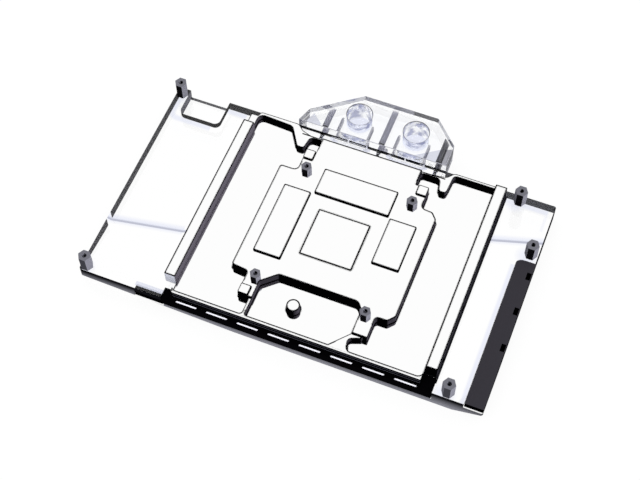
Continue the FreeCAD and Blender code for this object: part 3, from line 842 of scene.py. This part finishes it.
def makeOpal():
    # opal acrylic over the lamps: milky, with a painted glow that keeps the slots bright
    material, tree = newMaterial("acrylicOpal")
    shader = addNode(tree, "ShaderNodeBsdfPrincipled", None, {
        "Base Color": lay(tree, grain(tree, opal["grain"]), opal["shade"], opal["face"]),
        "Roughness": opal["roughness"],
        "Emission Color": opal["glow"],
        "Emission Strength": opal["strength"],
    })
    finishMaterial(tree, shader.outputs[0])
    return material


silicone = {"tint": "f4f5fc", "shade": "eceef8", "face": "f8f8fe", "share": 0.06, "grain": 0.4 * mm}


def makeSilicone():
    # clear silicone cord, hardly seen inside the acrylic
    material, tree = newMaterial("siliconeClear")
    milk = lay(tree, grain(tree, silicone["grain"]), silicone["shade"], silicone["face"])
    clear = addNode(tree, "ShaderNodeBsdfTransparent", None, {"Color": silicone["tint"]})
    finishMaterial(tree, coat(tree, clear.outputs[0], silicone["share"], milk))
    return material


# painted light and shade for the hexagon bar: a tone for each way a flat faces, and the top lighter
hexPost = {
    "top": "7f7f88",
    "near": "060507",
    "nearGrey": "47474e",
    "right": "a9a9b7",
    "left": "74747e",
    "far": "3a3a40",
    "nearEdge": -45 * mm,
    "flatLean": 0.8,  # of Y in the direction of the two flats that look along it
    "sideLean": 0.5,
    "grain": 0.5 * mm,
    "wear": (0.3, 0.7, 0.0, 0.15),  # from these two values of the grain to these two shares of wear
    "roughness": 0.45,
}


def makePosts():
    # black-nickel plated hexagon bar with painted light and shade: each flat a tone by the way it faces, the
    # one towards the near edge black
    material, tree = newMaterial("blackNickelHexBar")
    x, y, z = faceDirection(tree)
    py = place(tree)[1]
    colour = lay(tree, x > hexPost["sideLean"], hexPost["left"], hexPost["right"])
    nearFlat = lay(tree, py < hexPost["nearEdge"], hexPost["near"], hexPost["nearGrey"])
    colour = lay(tree, y < -hexPost["flatLean"], colour, nearFlat)
    colour = lay(tree, y > hexPost["flatLean"], colour, hexPost["far"])
    worn = ramp(grain(tree, hexPost["grain"]), *hexPost["wear"])
    colour = lay(tree, worn, colour, hexPost["far"])
    shader = addNode(tree, "ShaderNodeBsdfDiffuse", None, {
        "Color": lay(tree, z > flatEnough, colour, hexPost["top"]),
        "Roughness": hexPost["roughness"],
    })
    finishMaterial(tree, shader.outputs[0])
    return material


turned = {"metallic": 0.9, "lean": 0.3, "grain": 0.4 * mm, "spread": 0.2}


def makeTurned(name, top, side, shadedSide, roughness):
    # turned and milled steel with painted light and shade: bright to the end, grey on the side towards +X,
    # darker round the rest
    material, tree = newMaterial(name)
    x, _, z = faceDirection(tree)
    wall = lay(tree, x > turned["lean"], shadedSide, side)
    shader = addNode(tree, "ShaderNodeBsdfPrincipled", None, {
        "Base Color": lay(tree, abs(z) > flatEnough, wall, top),
        "Metallic": turned["metallic"],
        "Roughness": uneven(grain(tree, turned["grain"]), roughness, turned["spread"]),
    })
    finishMaterial(tree, shader.outputs[0])
    return material


screwSteel = {
    "oxide": "1c1c22",
    "gloss": 0.3,
    "roughness": (0.35, 0.45),
    "grain": 0.3 * mm,
    "thread": "fbfbfd",
    "threadRoughness": 0.05,
    "inside": 0.2 * mm,  # the thread starts this much inside the body
}


def makeScrewSteel():
    # black oxide on the screw's head and shank, and a thread that mirrors the white round it
    material, tree = newMaterial("steelBlackOxide")
    black = addNode(tree, "ShaderNodeBsdfPrincipled", None, {
        "Base Color": screwSteel["oxide"],
        "Roughness": ramp(grain(tree, screwSteel["grain"]), 0.0, 1.0, *screwSteel["roughness"]),
        "Specular IOR Level": screwSteel["gloss"],
    })
    bright = addNode(tree, "ShaderNodeBsdfPrincipled", None, {
        "Base Color": screwSteel["thread"],
        "Metallic": 1.0,
        "Roughness": screwSteel["threadRoughness"],
    })
    inBody = place(tree)[1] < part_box("clear_body")[1][1] - screwSteel["inside"]
    finishMaterial(tree, lay(tree, inBody, black.outputs[0], bright.outputs[0]))
    return material


# the sheet's top, side and darker side tones are painted light and shade
jetPlate = {  # stamped sheet with a satin rolled face
    "name": "stainlessSheet",
    "top": "b9b9bd",
    "side": "a0a0a6",
    "shadedSide": "8c8c92",
    "roughness": 0.35,
}
# the heads' tones are painted light and shade, grey towards +X and dark round the rest
bodyScrews = {  # turned heads: grey on the end, dark round most of the side
    "name": "stainlessTurned",
    "top": "8e8e94",
    "side": "77777f",
    "shadedSide": "2c2c30",
    "roughness": 0.3,
}
mainSeal = {  # black rubber, dull from the mould
    "name": "nitrileRubber",
    "colour": "141416",
    "roughness": 0.6,
    "grainSize": 0.3 * mm,
    "depth": 0.2,
}
lightBoard = {  # dark lacquered board, a little uneven
    "name": "glassFibreBoard",
    "colour": "20262a",
    "roughness": 0.5,
    "grainSize": 0.4 * mm,
    "depth": 0.1,
}
lamps = {  # cream lamp packages, smooth
    "name": "lampPackage",
    "colour": "f0ead2",
    "roughness": 0.4,
    "grainSize": 0.3 * mm,
    "depth": 0.05,
}

materials = {
    "clear_body": makeAcrylic(),
    "terminal_block": makeTerminalAcrylic(),
    "cold_plate": makeNickel(),
    "jet_plate": makeTurned(**jetPlate),
    "main_seal": makeMoulded(**mainSeal),
    "led_cover": makeBarCover(),
    "led_diffuser": makeOpal(),
    "led_board": makeMoulded(**lightBoard),
    "led_chips": makeMoulded(**lamps),
    "end_cover": makeEndCover(),
    "screws": makeTurned(**bodyScrews),
    "terminal_screws": makeScrewSteel(),
    "standoffs": makePosts(),
    "terminal_seals": makeSilicone(),
}


def dress(name, material):
    slots = nodes[name].data.materials
    slots.clear()
    slots.append(material)


for name in nodes:
    if name in materials:
        dress(name, materials[name])
    elif "standoff" in name:
        dress(name, materials["standoffs"])
    else:
        dress(name, materials["screws"])
print("materials on the nodes")


# camera, at the photograph's viewing angle
cameraPlan = {
    "place": (114.51, -303.11, 561.07),
    "right": (0.9305, 0.3663, -0.0049),
    "down": (0.3126, -0.8008, -0.5109),
    "forward": (-0.1911, 0.4739, -0.8596),
    "lens": 74.38,
    "sensor": 36,
    "clip": (0.01, 20),
}


def makeCamera():
    data = bpy.data.cameras.new("photoCamera")
    data.lens = cameraPlan["lens"]
    data.sensor_width = cameraPlan["sensor"]
    data.clip_start, data.clip_end = cameraPlan["clip"]
    camera = bpy.data.objects.new("photoCamera", data)
    scene.collection.objects.link(camera)
    right, down, forward = (np.array(cameraPlan[key]) for key in ("right", "down", "forward"))
    turn = np.eye(4)
    turn[:3, :3] = np.array([right, -down, -forward]).T
    turn[:3, 3] = np.array(cameraPlan["place"]) * mm
    camera.matrix_world = Matrix(turn.tolist())
    scene.camera = camera


makeCamera()
print("camera set")


stage = {
    "floorDrop": 0.15 * mm,
    "floorHalf": 6.0,
    "white": "ffffff",
    "paper": (0.8, 0.8, 0.8, 1),
    "shadow": (0.13, 0.13, 0.13, 1),
    "seen": 0.9,
    "sky": 0.95,
}


def makeFloor():
    # white paper: the camera sees it white with a faint shadow, and gloss and glass see it plain white
    mesh = bpy.data.meshes.new("floor")
    h = stage["floorHalf"]
    z = cadLow[2] - stage["floorDrop"]
    mesh.from_pydata([(-h, -h, z), (h, -h, z), (h, h, z), (-h, h, z)], [], [(0, 1, 2, 3)])
    floor = bpy.data.objects.new("floor", mesh)
    scene.collection.objects.link(floor)
    material, tree = newMaterial("whitePaper")
    rays = addNode(tree, "ShaderNodeLightPath").outputs
    glow = addNode(tree, "ShaderNodeEmission", None, {"Color": stage["white"], "Strength": stage["seen"]})
    white = addNode(tree, "ShaderNodeEmission", None, {"Color": stage["white"], "Strength": 1.0})
    faint = addNode(tree, "ShaderNodeBsdfDiffuse", None, {"Color": stage["shadow"]})
    paper = addNode(tree, "ShaderNodeBsdfDiffuse", None, {"Color": stage["paper"]})
    shown = addNode(tree, "ShaderNodeAddShader", None, {0: glow.outputs[0], 1: faint.outputs[0]})
    surface = lay(tree, Field(tree, rays["Is Camera Ray"]), paper.outputs[0], shown.outputs[0])
    mirrored = Field(tree, rays["Is Transmission Ray"]) | Field(tree, rays["Is Glossy Ray"])
    surface = lay(tree, mirrored, surface, white.outputs[0])
    behind = Field(tree, addNode(tree, "ShaderNodeNewGeometry").outputs["Backfacing"])
    finishMaterial(tree, letThrough(tree, surface, behind))
    mesh.materials.append(material)


def makeWorld():
    # a plain white studio all round, a little softer as light than as background
    world = bpy.data.worlds.new("studio")
    world.use_nodes = True
    tree = world.node_tree
    tree.nodes.clear()
    rays = addNode(tree, "ShaderNodeLightPath").outputs
    kinds = ("Is Camera Ray", "Is Glossy Ray", "Is Transmission Ray")
    seen = anyOf([Field(tree, rays[kind]) for kind in kinds])
    soft = addNode(tree, "ShaderNodeBackground", None, {"Color": stage["white"], "Strength": stage["sky"]})
    white = addNode(tree, "ShaderNodeBackground", None, {"Color": stage["white"], "Strength": 1.0})
    both = lay(tree, seen, soft.outputs[0], white.outputs[0])
    addNode(tree, "ShaderNodeOutputWorld", None, {"Surface": both})
    scene.world = world


makeFloor()
makeWorld()
print("stage and light set")
